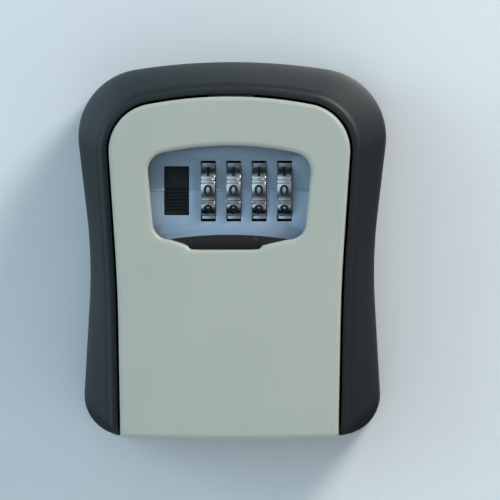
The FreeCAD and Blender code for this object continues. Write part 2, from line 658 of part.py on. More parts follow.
def screw(head_radius, head_height, shank_radius, length, x, depth, height):
    """A countersunk or pan screw driven away from the wall, its head's underside at a depth."""
    head = rod("Y", head_radius, head_height, x, "(%s) - (%s)" % (depth, head_height), height)
    shank = rod("Y", shank_radius, length, x, depth, height)
    slot = block((x + " - 0.25", x + " + 0.25"),
                 ("(%s) - (%s) - 1" % (depth, head_height), "(%s) - (%s) * 0.5" % (depth, head_height)),
                 ("%s - (%s)" % (height, head_radius), "%s + (%s)" % (height, head_radius)))
    return without(joined(head, shank), slot)


def screws():
    """Every screw, with those of one kind in one node."""
    keep("surround_screws", group(*[
        screw("head_radius", "head_depth", "pilot", "case_depth + screw_bite - head_depth - 0.4",
              x, "head_depth", height) for x, height in POSTS]))
    keep("panel_screws", group(*four_bosses(lambda x, height: screw(
        "small_head", "small_head_height", "pilot", "flange_thick + panel_thick + panel_bite", x,
        "panel_depth - flange_thick", height))))
    keep("cover_screws", group(*[
        screw("small_head", "small_head_height", "pilot", "cover_thick + cover_bite", x,
              "frame_depth - cover_thick", height) for x, height in CORNERS]))
    strike = []
    for side in ("", "-"):
        x = side + "strike_hole_x"
        head = rod("Z", "small_head", "small_head_height", x, "strike_hole_depth",
                   "strike_seat - strike_thick - small_head_height")
        shank = rod("Z", "pilot", "strike_thick + strike_bite", x, "strike_hole_depth",
                    "strike_seat - strike_thick")
        strike.append(joined(head, shank))
    keep("strike_screws", group(*strike))


def opener():
    """The button and the latch plate behind it, which slide down together."""
    front = "panel_depth - button_set"
    rear = "axle_depth + latch_thick / 2"
    button = block(("-button_x - button_width / 2", "-button_x + button_width / 2"), (rear, front),
                   ("button_low", "button_high"))
    keep("open_button", button)
    bar_depth = ("axle_depth - latch_thick / 2", rear)
    strap = block(("-button_x - strap_width / 2", "-button_x + strap_width / 2"), bar_depth,
                  ("latch_low", "bar_high"))
    bar = block(("-button_x - strap_width / 2", cam_left(3) + " + cam_thick"), bar_depth,
                ("bar_low", "bar_high"))
    fingers = [block((cam_left(index) + " + (cam_thick - finger_thick) / 2",
                      cam_left(index) + " + (cam_thick + finger_thick) / 2"), bar_depth,
                     ("wheel_height + cam_radius + finger_gap", "bar_low + 1")) for index in WHEELS]
    bridge = block(("-bolt_half", "bolt_half"), ("bolt_depth", rear), ("bar_low", "bar_high"))
    bolt = block(("-bolt_half", "bolt_half"), ("bolt_depth", "bolt_depth + bolt_thick"),
                 ("bar_low", "bolt_high"))
    keep("latch_plate", joined(strap, bar, *fingers, bridge, bolt))


def strike():
    """The bent plate under the case's top wall that the bolt stands behind."""
    lip_depth = "bolt_depth + bolt_thick + strike_gap"
    flange = block(("-strike_half", "strike_half"), ("strike_rear", lip_depth + " + strike_thick"),
                   ("strike_seat - strike_thick", "strike_seat"))
    lip = block(("-strike_half", "strike_half"), (lip_depth, lip_depth + " + strike_thick"),
                ("strike_low", "strike_seat"))
    holes = [rod("Z", "pilot", "strike_thick + 2", side + "strike_hole_x", "strike_hole_depth",
                 "strike_seat - strike_thick - 1") for side in ("", "-")]
    keep("strike_plate", without(joined(flange, lip), *holes))


def key_hook():
    """A peg on the back wall with an upturned tip."""
    base = round_block(("hook_x - plate_half", "hook_x + plate_half"),
                       ("back_wall", "back_wall + plate_thick"),
                       ("hook_height - plate_tall", "hook_height + plate_tall"), "door_edge")
    peg = rod("Y", "hook_wire", "hook_reach", "hook_x", "back_wall + plate_thick / 2", "hook_height")
    elbow = doc.addObject("Part::Sphere", "Elbow")
    bind(elbow, "Radius", "hook_wire")
    place(elbow, "Z", "hook_x", "back_wall + plate_thick / 2 + hook_reach", "hook_height")
    rise = rod("Z", "hook_wire", "hook_rise", "hook_x", "back_wall + plate_thick / 2 + hook_reach",
               "hook_height")
    keep("key_hook", joined(base, peg, elbow, rise))


def springs():
    """The coil that lifts the opener, and the leaf whose fingers click into the wheels."""
    floor = number("frame_low") + number("frame_wall")
    wire = number("spring_wire")
    rise = number("latch_low") - floor - 2 * wire - 2 * number("spring_play")
    helix = Part.makeLongHelix(rise / number("spring_turns"), rise, number("spring_radius"))
    start = FreeCAD.Vector(number("spring_radius"), 0, 0)
    ring = Part.Wire(Part.makeCircle(wire, start, FreeCAD.Vector(0, 1, 0)))
    coil = doc.addObject("Part::Feature", "Coil")
    coil.Shape = Part.Wire(helix.Edges).makePipeShell([ring], True, True)
    place(coil, "Z", "-button_x", "spring_depth", "frame_low + frame_wall + spring_wire + spring_play")
    keep("button_spring", coil)
    thick, width = number("leaf_thick"), number("leaf_width")
    centre = -number("axle_depth")
    top = number("wheel_height") - number("wheel_radius") - number("leaf_play")
    lift = number("wall_centre")
    leaves = []
    for index in WHEELS:
        middle = (2 * index - 3) * number("wheel_pitch") / 2 + number("wheel_centre")
        spots = [(centre + 7, floor), (centre + 3, floor), (centre, top - thick),
                 (centre - 3.5, floor + 1)]
        upper = [(y, height + thick) for y, height in reversed(spots)]
        points = [FreeCAD.Vector(middle - width / 2, y, height - lift) for y, height in spots + upper]
        face = Part.Face(Part.makePolygon(points + points[:1]))
        leaves.append(face.extrude(FreeCAD.Vector(width, 0, 0)))
    first = (-3 * number("wheel_pitch") / 2) + number("wheel_centre")
    last = (3 * number("wheel_pitch") / 2) + number("wheel_centre")
    strip = Part.makeBox(last - first + width, 3, thick,
                         FreeCAD.Vector(first - width / 2, centre + 4, floor - lift))
    leaf = doc.addObject("Part::Feature", "Leaf")
    leaf.Shape = strip.fuse(leaves).removeSplitter()
    keep("detent_spring", leaf)


surround()
case_shell()
door_shell()
hinge()
shutter()
dial_panel()
for wheel in WHEELS:
    number_wheel(wheel)
    code_cam(wheel)
axle_group()
lock_frame()
lock_cover()
screws()
opener()
strike()
key_hook()
springs()
doc.recompute()

faults = [item.Name for item in doc.Objects if {"Invalid", "Error"} & set(item.State)]
for name, item in nodes.items():
    if item.Shape.isNull() or not item.Shape.isValid() or not item.Shape.Solids:
        faults.append(name)
if faults:
    raise RuntimeError("These did not build: " + ", ".join(faults))

os.makedirs("parts", exist_ok=True)
for name, item in sorted(nodes.items()):
    item.Shape.exportStep("parts/%s.step" % name)
    print("%-18s %2d solid(s) %9.1f mm3" % (name, len(item.Shape.Solids), item.Shape.Volume))
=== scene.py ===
# %% [markdown]
# # A key lock box for a wall
#
# The imported model gives every piece its place and its joints. This lesson makes the skins that are
# seen: the moulded surround, the painted door, the panel behind its window, the number wheels, the
# button and the weather shutter. What sits deeper keeps its own shape and gets a finish. The first
# cell loads the model.

# %% Load the model
import json
import math

import bpy
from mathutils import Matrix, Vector


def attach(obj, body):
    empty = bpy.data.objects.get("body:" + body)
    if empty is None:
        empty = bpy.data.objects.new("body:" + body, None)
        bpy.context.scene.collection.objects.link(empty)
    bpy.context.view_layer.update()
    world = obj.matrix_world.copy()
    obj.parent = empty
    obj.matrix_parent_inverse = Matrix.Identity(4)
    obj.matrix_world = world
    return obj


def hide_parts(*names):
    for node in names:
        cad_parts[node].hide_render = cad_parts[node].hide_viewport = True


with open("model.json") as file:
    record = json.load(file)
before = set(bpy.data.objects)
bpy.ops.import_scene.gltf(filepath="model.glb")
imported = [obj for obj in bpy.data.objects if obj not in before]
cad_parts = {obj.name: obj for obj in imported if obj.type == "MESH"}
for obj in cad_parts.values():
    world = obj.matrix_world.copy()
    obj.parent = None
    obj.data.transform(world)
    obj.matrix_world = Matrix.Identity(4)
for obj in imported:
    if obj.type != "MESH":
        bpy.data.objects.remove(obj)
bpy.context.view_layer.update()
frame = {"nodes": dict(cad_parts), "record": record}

# %% [markdown]
# Sizes on this object are easiest to say in millimetres: how far right of the middle, how deep out
# from the wall, and how high above the foot of the surround. The scene is in metres with its origin
# at the middle of the wall screws, 57.6 mm above that foot, so one helper turns one into the other.

# %% Places on the box
WALL_CENTRE = 57.6


def at(x, depth, height):
    return Vector((x, -depth, height - WALL_CENTRE)) / 1000


print("top of the door", at(0, 40, 104.6))

# %% [markdown]
# The case and the door share one kind of outline: a flat crown, a round shoulder, a straight, a long
# hollow waist, another straight and a round foot. It could be drawn as a curve by eye, but the model
# gives it by radii, so it is worked out from them. Each stretch always has the same number of points,
# so that any two outlines can be joined point to point.

# %% The arched outline
CASE = {"half": 47.5, "top": 115.5, "arch": 2.1, "corner": 21.0, "waist": (43.75, 160, 50)}
DOOR = {"half": 37.2, "top": 104.6, "arch": 2.2, "corner": 14.5, "waist": (34.1, 520, 24)}
WINDOW = {"half": 25.15, "top": 89.5, "arch": 2.1, "corner": 5.8, "waist": (24.2, 80, 68)}
CROWN_STEPS, ROUND_STEPS, LONG_STEPS, SHORT_STEPS, FOOT_STEPS, BASE_STEPS = 16, 20, 18, 4, 10, 8


def turned(centre, radius, start, end, steps):
    """Points along an arc, without its last one."""
    return [(centre[0] + radius * math.cos(start + (end - start) * step / steps),
             centre[1] + radius * math.sin(start + (end - start) * step / steps))
            for step in range(steps)]


def straight(start, end, steps):
    return [(start[0] + (end[0] - start[0]) * step / steps,
             start[1] + (end[1] - start[1]) * step / steps) for step in range(steps)]


def lean_between(one, one_radius, other, other_radius, side):
    """The angle square to the line that runs between two circles and touches both."""
    across, up = other[0] - one[0], other[1] - one[1]
    spread = math.acos((one_radius + other_radius) / math.hypot(across, up))
    return math.atan2(up, across) + side * spread


def outline(shape, inset, foot):
    """The outline moved inwards, clockwise from the top. The foot is (half width, radius, base)."""
    foot_half, foot_round, base = foot
    waist_half, waist_radius, waist_height = shape["waist"]
    corner, arch = shape["corner"], shape["arch"]
    shoulder = (shape["half"] - corner, shape["top"] - arch - corner)
    crown = (arch ** 2 + shoulder[0] ** 2) / (2 * arch) + corner
    crown_at = (0, shape["top"] - crown)
    waist = (waist_half + waist_radius, waist_height)
    foot_at = (foot_half - foot_round, base + foot_round)
    top_lean = math.atan2(shoulder[1] - crown_at[1], shoulder[0])
    upper = lean_between(shoulder, corner - inset, waist, waist_radius + inset, 1)
    lower = lean_between(foot_at, foot_round, waist, waist_radius + inset, -1)
    shoulder_end = turned(shoulder, corner - inset, upper, upper, 1)[0]
    waist_top = turned(waist, waist_radius + inset, upper + math.pi, upper, 1)[0]
    waist_foot = turned(waist, waist_radius + inset, lower + math.pi, lower, 1)[0]
    foot_top = turned(foot_at, foot_round, lower, lower, 1)[0]
    right = turned(crown_at, crown - inset, math.pi / 2, top_lean, CROWN_STEPS)
    right += turned(shoulder, corner - inset, top_lean, upper, ROUND_STEPS)
    right += straight(shoulder_end, waist_top, SHORT_STEPS)
    right += turned(waist, waist_radius + inset, upper + math.pi, lower + math.pi, LONG_STEPS)
    right += straight(waist_foot, foot_top, SHORT_STEPS)
    right += turned(foot_at, foot_round, lower, -math.pi / 2, FOOT_STEPS)
    right += straight((foot_at[0], base), (0, base), BASE_STEPS)
    return right + [(0, base)] + [(-x, height) for x, height in reversed(right[1:])]


print("points in an outline", len(outline(CASE, 0, (45.6, 12.4, 0))))

# %% [markdown]
# The window has the same kind of outline, but its sill sags towards a notch where the shutter's tab
# stands. `grow` moves the whole edge outwards, which the rounded rim needs.

# %% The window's outline
NOTCH_MIDDLE, NOTCH_HALF, SILL, NOTCH_LOW = -1.3, 11.3, 58.65, 57.5
SILL_FOOT = (23.6, 5.2, 60.55)


def sill(side, grow):
    """One side of the sill, from the round corner to the middle of the notch."""
    step = NOTCH_MIDDLE + side * (NOTCH_HALF + grow)
    half, turn, end = SILL_FOOT
    start = side * (half - turn)
    sag = [(start + (step - start) * part, end + (SILL - end) * (0.85 * part + 0.15 * part ** 2))
           for part in (0, 0.35, 0.7)]
    drop = [(step + side * 0.35, SILL + 0.04), (step, SILL - 0.2), (step - side * 0.4, SILL - 0.75),
            (step - side * 1.1, NOTCH_LOW + 0.05), (step - side * 5, NOTCH_LOW)]
    return [(x, height - grow) for x, height in sag + drop]


def window(grow):
    half, turn, end = SILL_FOOT
    points = outline(WINDOW, -grow, (half + grow, turn + grow, end - grow))
    middle = len(points) // 2
    points[middle - BASE_STEPS:middle] = sill(1, grow)
    points[middle] = (NOTCH_MIDDLE, NOTCH_LOW - grow)
    points[middle + 1:middle + 1 + BASE_STEPS] = reversed(sill(-1, grow))
    return points


print("window runs from", min(p[0] for p in window(0)), "to", max(p[0] for p in window(0)))

# %% [markdown]
# A skin is made the way one draws a frame by hand: a circle of points is laid on the first outline,
# its edges are extruded, and the new points are laid on the next outline, ring after ring. The last
# ring is bridged back to the first, which closes the skin like a tyre, with no seam.

# %% Skins from rings
def deselect():
    if bpy.context.object and bpy.context.object.mode != "OBJECT":
        bpy.ops.object.mode_set(mode="OBJECT")
    bpy.ops.object.select_all(action="DESELECT")


def only(piece):
    deselect()
    piece.select_set(True)
    bpy.context.view_layer.objects.active = piece
    return piece


def tidy_normals(piece):
    only(piece)
    bpy.ops.object.mode_set(mode="EDIT")
    bpy.ops.mesh.select_all(action="SELECT")
    bpy.ops.mesh.remove_doubles(threshold=1e-7)
    bpy.ops.mesh.normals_make_consistent(inside=False)
    bpy.ops.object.mode_set(mode="OBJECT")


def close_skin(piece, count):
    """Bridge the last ring of points to the first."""
    total = len(piece.data.vertices)
    for number, vertex in enumerate(piece.data.vertices):
        vertex.select = number < count or number >= total - count
    for edge in piece.data.edges:
        edge.select = all(number < count for number in edge.vertices) or \
            all(number >= total - count for number in edge.vertices)
    for face in piece.data.polygons:
        face.select = False
    bpy.ops.object.mode_set(mode="EDIT")
    bpy.ops.mesh.select_mode(type="EDGE")
    bpy.ops.mesh.bridge_edge_loops()
    bpy.ops.mesh.select_mode(type="VERT")
    bpy.ops.object.mode_set(mode="OBJECT")
    tidy_normals(piece)
    return piece


def ring_skin(name, rings):
    """A closed skin through rings of points, each ring given as (outline, depth)."""
    spots = [[at(x, depth, height) for x, height in points] for points, depth in rings]
    deselect()
    bpy.ops.mesh.primitive_circle_add(vertices=len(spots[0]), radius=0.01)
    piece = bpy.context.object
    piece.name = piece.data.name = name
    for vertex, spot in zip(piece.data.vertices, spots[0]):
        vertex.co = spot
    for before, after in zip(spots, spots[1:]):
        known = {tuple(vertex.co): number % len(before)
                 for number, vertex in enumerate(piece.data.vertices) if vertex.select}
        bpy.ops.object.mode_set(mode="EDIT")
        bpy.ops.mesh.extrude_edges_move()
        bpy.ops.object.mode_set(mode="OBJECT")
        fresh = [vertex for vertex in piece.data.vertices if vertex.select]
        order = [known[tuple(vertex.co)] for vertex in fresh]
        for vertex, number in zip(fresh, order):
            vertex.co = after[number]
    return close_skin(piece, len(spots[0]))


# %% [markdown]
# Booleans stand in for the mill: a cutter is placed, the piece loses what it covers, and the cutter
# is thrown away. Edges are then broken with a small bevel, because no cast or moulded edge is sharp.

# %% Cutters, bevels and smooth shading
def box_piece(name, x, depth, height):
    """A box between two sides, two depths and two heights."""
    deselect()
    low, high = at(x[0], depth[1], height[0]), at(x[1], depth[0], height[1])
    bpy.ops.mesh.primitive_cube_add(size=1, location=(low + high) / 2, scale=high - low)
    bpy.ops.object.transform_apply(location=True, rotation=True, scale=True)
    piece = bpy.context.object
    piece.name = piece.data.name = name
    return piece


TURN = {"X": (0, math.pi / 2, 0), "Y": (math.pi / 2, 0, 0), "Z": (0, 0, 0)}


def rod_piece(name, axis, radius, length, x, depth, height, points=48):
    """A round bar about an axis, from its middle."""
    deselect()
    bpy.ops.mesh.primitive_cylinder_add(vertices=points, radius=radius / 1000, depth=length / 1000,
                                        location=at(x, depth, height), rotation=TURN[axis])
    bpy.ops.object.transform_apply(location=True, rotation=True, scale=True)
    piece = bpy.context.object
    piece.name = piece.data.name = name
    return piece


def carve(piece, cutter, operation="DIFFERENCE"):
    only(piece)
    change = piece.modifiers.new("Carve", "BOOLEAN")
    change.object, change.operation, change.solver = cutter, operation, "EXACT"
    bpy.ops.object.modifier_apply(modifier=change.name)
    bpy.data.objects.remove(cutter, do_unlink=True)
    return piece


def soften(piece, width, segments=2, angle=40):
    only(piece)
    change = piece.modifiers.new("Soften", "BEVEL")
    change.width, change.segments, change.angle_limit = width / 1000, segments, math.radians(angle)
    change.harden_normals = False
    bpy.ops.object.modifier_apply(modifier=change.name)
    return piece


def smooth(piece, angle=32):
    only(piece)
    bpy.ops.object.shade_smooth_by_angle(angle=math.radians(angle))
    return piece


def finish_piece(piece, body, look, slot, *nodes):
    """Shade a piece, let it ride on its body and stand for its nodes."""
    smooth(piece)
    if look not in list(piece.data.materials):
        piece.data.materials.clear()
        piece.data.materials.append(look)
    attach(piece, body)
    if nodes:
        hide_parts(*nodes)
    print(piece.name, len(piece.data.polygons), "faces")
    return piece


# %% [markdown]
# Shader sums are written as sums. `Wire` wraps a socket, and an operator on it adds a Math node.
# `Finish` holds one material: it sets what is the same all over on the shader itself, and makes any
# other node from its type, its settings and what its sockets receive.

# %% Writing shaders as sums
class Wire:
    def __init__(self, finish, socket):
        self.finish, self.socket = finish, socket

    def sum(self, operation, first, second):
        return self.finish.node("ShaderNodeMath", {"operation": operation}, {0: first, 1: second})

    def __add__(self, other):
        return self.sum("ADD", self, other)

    def __sub__(self, other):
        return self.sum("SUBTRACT", self, other)

    def __rsub__(self, other):
        return self.sum("SUBTRACT", other, self)

    def __mul__(self, other):
        return self.sum("MULTIPLY", self, other)

    __radd__ = __add__
    __rmul__ = __mul__


class Finish:
    def __init__(self, name, colour, roughness, metallic=0.0, coat=0.0):
        self.material = bpy.data.materials.new(name)
        self.material.use_nodes = True
        self.tree = self.material.node_tree
        self.shader = self.tree.nodes["Principled BSDF"]
        self.colour, self.roughness = colour, roughness
        for socket, value in (("Base Color", (*colour, 1)), ("Roughness", roughness),
                              ("Metallic", metallic), ("Coat Weight", coat)):
            self.shader.inputs[socket].default_value = value
        self.material.diffuse_color = (*colour, 1)

    def node(self, kind, settings=None, sockets=None, out=0):
        made = self.tree.nodes.new(kind)
        for key, value in (settings or {}).items():
            if key == "stops":
                for place, stop in zip(value, made.color_ramp.elements):
                    stop.position = place
            else:
                setattr(made, key, value)
        for key, value in (sockets or {}).items():
            if isinstance(value, Wire):
                self.tree.links.new(value.socket, made.inputs[key])
            else:
                made.inputs[key].default_value = value
        return Wire(self, made.outputs[out])

    def place(self, stretch=(1, 1, 1)):
        """Where a point is on the object, stretched for a pattern with a direction."""
        here = self.node("ShaderNodeTexCoord", out="Object")
        return self.node("ShaderNodeMapping", None, {"Vector": here, "Scale": stretch})

    def noise(self, size, detail=2.0, stretch=(1, 1, 1)):
        """Soft blotches about `size` millimetres across, from 0 to 1."""
        return self.node("ShaderNodeTexNoise", None, {
            "Vector": self.place(stretch), "Scale": 1000 / size, "Detail": detail})

    def pebbles(self, size):
        """Rounded grains about `size` millimetres across."""
        return self.node("ShaderNodeTexVoronoi", {"feature": "SMOOTH_F1"}, {
            "Vector": self.place(), "Scale": 1000 / size, "Smoothness": 0.6})

    def band(self, value, low, high):
        """0 below one value, 1 above another, and a soft step between."""
        return self.node("ShaderNodeMapRange", {"interpolation_type": "SMOOTHSTEP"}, {
            "Value": value, "From Min": low, "From Max": high})

    def mix(self, mask, first, second):
        colours = {6: first if isinstance(first, Wire) else (*first, 1),
                   7: second if isinstance(second, Wire) else (*second, 1)}
        return self.node("ShaderNodeMix", {"data_type": "RGBA"}, {0: mask, **colours}, out=2)

    def feed(self, socket, value):
        self.tree.links.new(value.socket, self.shader.inputs[socket])
        return self

    def relief(self, height, depth, strength=1.0):
        """Let a height from 0 to 1 stand `depth` millimetres proud."""
        return self.feed("Normal", self.node("ShaderNodeBump", None, {
            "Height": height, "Distance": depth / 1000, "Strength": strength}))

    def vary(self, mask, colour, roughness):
        """Drift from the plain finish towards another colour and roughness where a mask is high."""
        self.feed("Base Color", self.mix(mask, self.colour, colour))
        return self.feed("Roughness", mask * (roughness - self.roughness) + self.roughness)


# %% [markdown]
# The door is cast metal under a satin, grey-green paint. Sprayed paint is never quite flat: it has a
# fine orange peel, and it dulls in soft patches where hands and dust have been.

# %% Paint on the door
def door_paint():
    paint = Finish("door_sage", (0.425, 0.450, 0.395), 0.42)
    patches = paint.noise(38, 3.0)
    specks = paint.band(paint.noise(0.55, 3.0), 0.66, 0.74)
    peel = paint.noise(1.3, 2.0) * 0.7 + paint.noise(0.35, 1.0) * 0.3
    paint.vary(paint.band(patches, 0.35, 0.7) * 0.8 + specks * 0.2, (0.40, 0.425, 0.375), 0.5)
    return paint.relief(peel, 0.02, 0.5).material


DOOR_PAINT = door_paint()

# %% [markdown]
# The surround is a charcoal moulding with a pebbled grain, the kind that hides flow lines. The grain
# catches the light as tiny sparks where the surface turns towards it, so it is true relief here, and
# its tops are a little smoother than its valleys.

# %% Moulded surround
def moulding():
    plastic = Finish("surround_charcoal", (0.007, 0.0125, 0.0145), 0.42)
    grain = plastic.pebbles(0.42)
    fine = plastic.noise(0.3, 2.0)
    patches = plastic.noise(30, 2.0)
    plastic.vary(plastic.band(grain, 0.15, 0.6) * 0.7 + patches * 0.3, (0.007, 0.0115, 0.0135), 0.56)
    return plastic.relief((1 - grain) * 0.75 + fine * 0.25, 0.09, 0.8).material


MOULDING = moulding()


# %% [markdown]
# The remaining finishes follow the same pattern: a colour, a grain of the right size, and a drift in
# roughness. Metals keep a metallic surface under the drift, and plastics don't.

# %% Metals and plastics
def metal(name, colour, roughness, grain_size, depth, worn, stretch=(1, 1, 1), bright=1.0):
    look = Finish(name, colour, roughness, metallic=bright)
    blotches = look.noise(9, 3.0)
    grain = look.noise(grain_size, 3.0, stretch)
    look.vary(blotches * 0.6 + grain * 0.4, worn, min(roughness + 0.16, 1))
    return look.relief(grain, depth, 0.6).material


def plastic(name, colour, roughness, grain_size, depth):
    look = Finish(name, colour, roughness)
    grain = look.noise(grain_size, 3.0)
    lighter = [part * 1.5 + 0.001 for part in colour]
    look.vary(look.noise(14, 2.0) * 0.5 + grain * 0.3, lighter, min(roughness + 0.14, 1))
    return look.relief(grain, depth, 0.6).material


CHROME = metal("wheel_chrome", (0.78, 0.79, 0.81), 0.13, 1.6, 0.006, (0.62, 0.63, 0.66))
# The panel is silver paint. The blue in its base colour and in its worn colour is a painted reflection of a
# blue sky, not a colour the plate has.
PANEL_SILVER_PAINTED_SKY_REFLECTION = metal("panel_silver", (0.46, 0.58, 0.72), 0.30, 0.12, 0.006, (0.42, 0.54, 0.68), bright=0.6)
ZINC = metal("zinc_steel", (0.55, 0.56, 0.57), 0.32, 2.5, 0.01, (0.42, 0.43, 0.45))
COVER_STEEL = metal("cover_steel", (0.50, 0.51, 0.52), 0.30, 0.25, 0.008, (0.40, 0.41, 0.43), (1, 1, 0.04))
BRIGHT_STEEL = metal("bright_steel", (0.62, 0.62, 0.63), 0.20, 0.2, 0.006, (0.50, 0.50, 0.52))
SPRING_STEEL = metal("spring_steel", (0.42, 0.42, 0.44), 0.28, 0.2, 0.005, (0.30, 0.30, 0.33))
BRASS = metal("cam_brass", (0.66, 0.47, 0.20), 0.26, 0.5, 0.006, (0.48, 0.33, 0.14))
BUTTON_BLACK = plastic("button_black", (0.003, 0.004, 0.006), 0.45, 0.25, 0.006)
SHUTTER_BLACK = plastic("shutter_black", (0.002, 0.003, 0.004), 0.42, 0.3, 0.008)
FRAME_PLASTIC = plastic("frame_plastic", (0.020, 0.021, 0.024), 0.50, 0.5, 0.015)
BUSH_PLASTIC = plastic("bush_plastic", (0.62, 0.60, 0.54), 0.42, 0.4, 0.008)
DIGIT_BLACK = plastic("digit_black", (0.008, 0.008, 0.010), 0.45, 0.15, 0.004)


# %% [markdown]
# The tray that holds the keys is cast and powder coated. Baked powder leaves low, rounded lumps and a
# dull sheen. A flat dark colour would look like bare plastic, so the lumps are a soft relief, and the
# roughness drifts a little over the casting.

# %% Powder coat on the cast case
def powder_coat():
    coat = Finish("case_black", (0.020, 0.021, 0.023), 0.55)
    lumps = coat.noise(0.8, 4.0)
    coat.vary(coat.noise(22, 3.0), (0.034, 0.035, 0.037), 0.7)
    return coat.relief(lumps, 0.05, 0.6).material


CASE_BLACK = powder_coat()
print("finishes:", sorted(material.name for material in bpy.data.materials))

# %% [markdown]
# The surround is one moulding. From the wall it stands upright, rolls over into a slope, comes to a
# crease round the door, and ends in a rounded bead that faces forwards. The slope starts along the
# upright wall and steepens, so it is a curve between two outlines. The foot of the door passes
# through a gate in its lower wall, which is milled out at the end.

# %% The surround
CASE_FOOT, CREASE_FOOT, MOUTH_FOOT = (45.6, 12.4, 0), (37.6, 4.0, 0), (34.4, 1.8, 1.6)
STRAIGHT, CREASE, MOUTH, CASE_DEPTH = 16.5, 34.5, 35.8, 20.2
SLOPE_STEPS = 9
BEAD = [(0.02, 0.06), (0.09, 0.27), (0.17, 0.49), (0.26, 0.68), (0.37, 0.83), (0.50, 0.94), (0.66, 0.99),
        (0.82, 1.0), (0.92, 0.98), (0.98, 0.88)]


def blended(first, second, part):
    return [(a[0] + (b[0] - a[0]) * part, a[1] + (b[1] - a[1]) * part)
            for a, b in zip(first, second)]


def surround_rings():
    side = outline(CASE, 0, CASE_FOOT)
    crease = outline(DOOR, -4.0, CREASE_FOOT)
    mouth = outline(DOOR, -0.8, MOUTH_FOOT)
    room = outline(CASE, 2.2, (43.4, 10.2, 1.2))
    rings = [(outline(CASE, 0.5, (45.1, 11.9, 0.5)), 0), (side, 0.5), (side, 8), (side, STRAIGHT - 1)]
    for step in range(SLOPE_STEPS):
        part = step / SLOPE_STEPS
        rings.append((blended(side, crease, part ** 1.3), STRAIGHT + (CREASE - STRAIGHT) * part))
    rings.append((blended(side, crease, 0.975), CREASE - 0.25))
    for part, rise in BEAD:
        rings.append((blended(crease, mouth, part), CREASE + (MOUTH - CREASE) * rise))
    rings += [(mouth, MOUTH - 0.45), (mouth, 27), (mouth, CASE_DEPTH), (room, CASE_DEPTH), (room, 0)]
    return rings


surround = ring_skin("surround_cover", surround_rings())
carve(surround, box_piece("gate", (-34.45, 34.45), (-1, 41), (-2, 5.4)))
finish_piece(surround, "case", MOULDING, "surround_charcoal", "surround")

# %% [markdown]
# The door is a cast tray with a rolled front edge and a window whose rim is a soft fillet. Both
# edges are rings again: a quarter circle of insets for the outer edge, and the same with `grow` for
# the rim. Its lower rear edge is scooped out about the hinge, so that it can swing past the floor.

# %% The door
DOOR_FRONT, DOOR_INNER, DOOR_REAR, DOOR_LOW, BELLY = 40.0, 38.0, 20.5, -0.35, 0.6
EDGE_ROUND, RIM_ROUND = 1.25, 1.35
HINGE = (13.6, 6.0)


def door_outline(inset):
    """The door's outline, whose lower edge hangs a little lower in the middle."""
    low = DOOR_LOW + inset
    return [(x, height - BELLY * (1 - (x / 33) ** 2) * (height < low + 1e-6))
            for x, height in outline(DOOR, inset, (33.6 - inset, 1.1, low))]


def door_rings():
    rings = [(door_outline(0.3), DOOR_REAR), (door_outline(0), DOOR_REAR + 0.3), (door_outline(0), 30),
             (door_outline(0), DOOR_FRONT - EDGE_ROUND - 0.5)]
    for step in range(7):
        lean = math.pi / 2 * step / 6
        rings.append((door_outline(EDGE_ROUND * (1 - math.cos(lean))),
                      DOOR_FRONT - EDGE_ROUND * (1 - math.sin(lean))))
    rings += [(door_outline(EDGE_ROUND + 0.5), DOOR_FRONT), (window(RIM_ROUND + 0.5), DOOR_FRONT)]
    for step in range(7):
        lean = math.pi / 2 * step / 6
        rings.append((window(RIM_ROUND * (1 - math.sin(lean))),
                      DOOR_FRONT - RIM_ROUND * (1 - math.cos(lean))))
    rings += [(window(0), DOOR_INNER + 0.1), (window(0.1), DOOR_INNER), (door_outline(2.2), DOOR_INNER),
              (door_outline(2.0), DOOR_INNER - 0.2), (door_outline(2.0), DOOR_REAR + 0.3),
              (door_outline(1.7), DOOR_REAR)]
    return rings


door = ring_skin("door_skin", door_rings())
scoop = math.hypot(6.4, 6.0) + 0.45
carve(door, rod_piece("scoop", "X", scoop, 80, 0, *HINGE, points=96))

# %% [markdown]
# Behind the skin stand two hinge ears, each an arm that ends in a round eye, and four bosses that
# the panel's screws bite into. They are milled from bars and joined to the skin by touching it.

# %% Hinge ears and bosses
def hinge_ear(number, left, right):
    arm = box_piece("ear_%d" % number, (left, right), (HINGE[0], DOOR_INNER + 0.2), (2.8, 9.2))
    middle = (left + right) / 2
    foot = box_piece("foot", (left, right), (DOOR_REAR + 0.4, DOOR_INNER + 0.2), (0.6, 4))
    carve(arm, rod_piece("eye", "X", 3.2, right - left, middle, *HINGE), "UNION")
    carve(arm, foot, "UNION")
    carve(arm, rod_piece("bore", "X", 2.1, right - left + 2, middle, *HINGE))
    soften(arm, 0.2)
    return finish_piece(arm, "door", DOOR_PAINT, "door_sage", "door_shell")


hinge_ear(1, -30.5, -26.0)
hinge_ear(2, 26.0, 30.5)
for number, (x, height) in enumerate([(30.3, 59.5), (30.3, 91.0), (-30.3, 59.5), (-30.3, 91.0)], 1):
    boss = rod_piece("boss_%d" % number, "Y", 2.2, 6.2, x, 35.1, height)
    carve(boss, rod_piece("pilot", "Y", 1.0, 5, x, 33.2, height, 24))
    soften(boss, 0.15)
    finish_piece(boss, "door", DOOR_PAINT, "door_sage", "door_shell")
finish_piece(door, "door", DOOR_PAINT, "door_sage", "door_shell")

# %% [markdown]
# The dial panel is a silver-painted plate, folded very slightly along a line level with the wheels,
# so that its lower half looks a little up and its upper half a little down, with a fine bead in the
# fold. The fold is cut in with three bisects, and the slots for the wheels and the button are punched
# through it.

# %% The dial panel
FOLD, WHEEL_AXIS, WHEEL_PITCH, FIRST_WHEEL = 75.9, (25.3, 75.5), 7.85, -6.685
PANEL = {"x": (-32, 32), "depth": (30.7, 32.0), "height": (56.0, 94.5)}


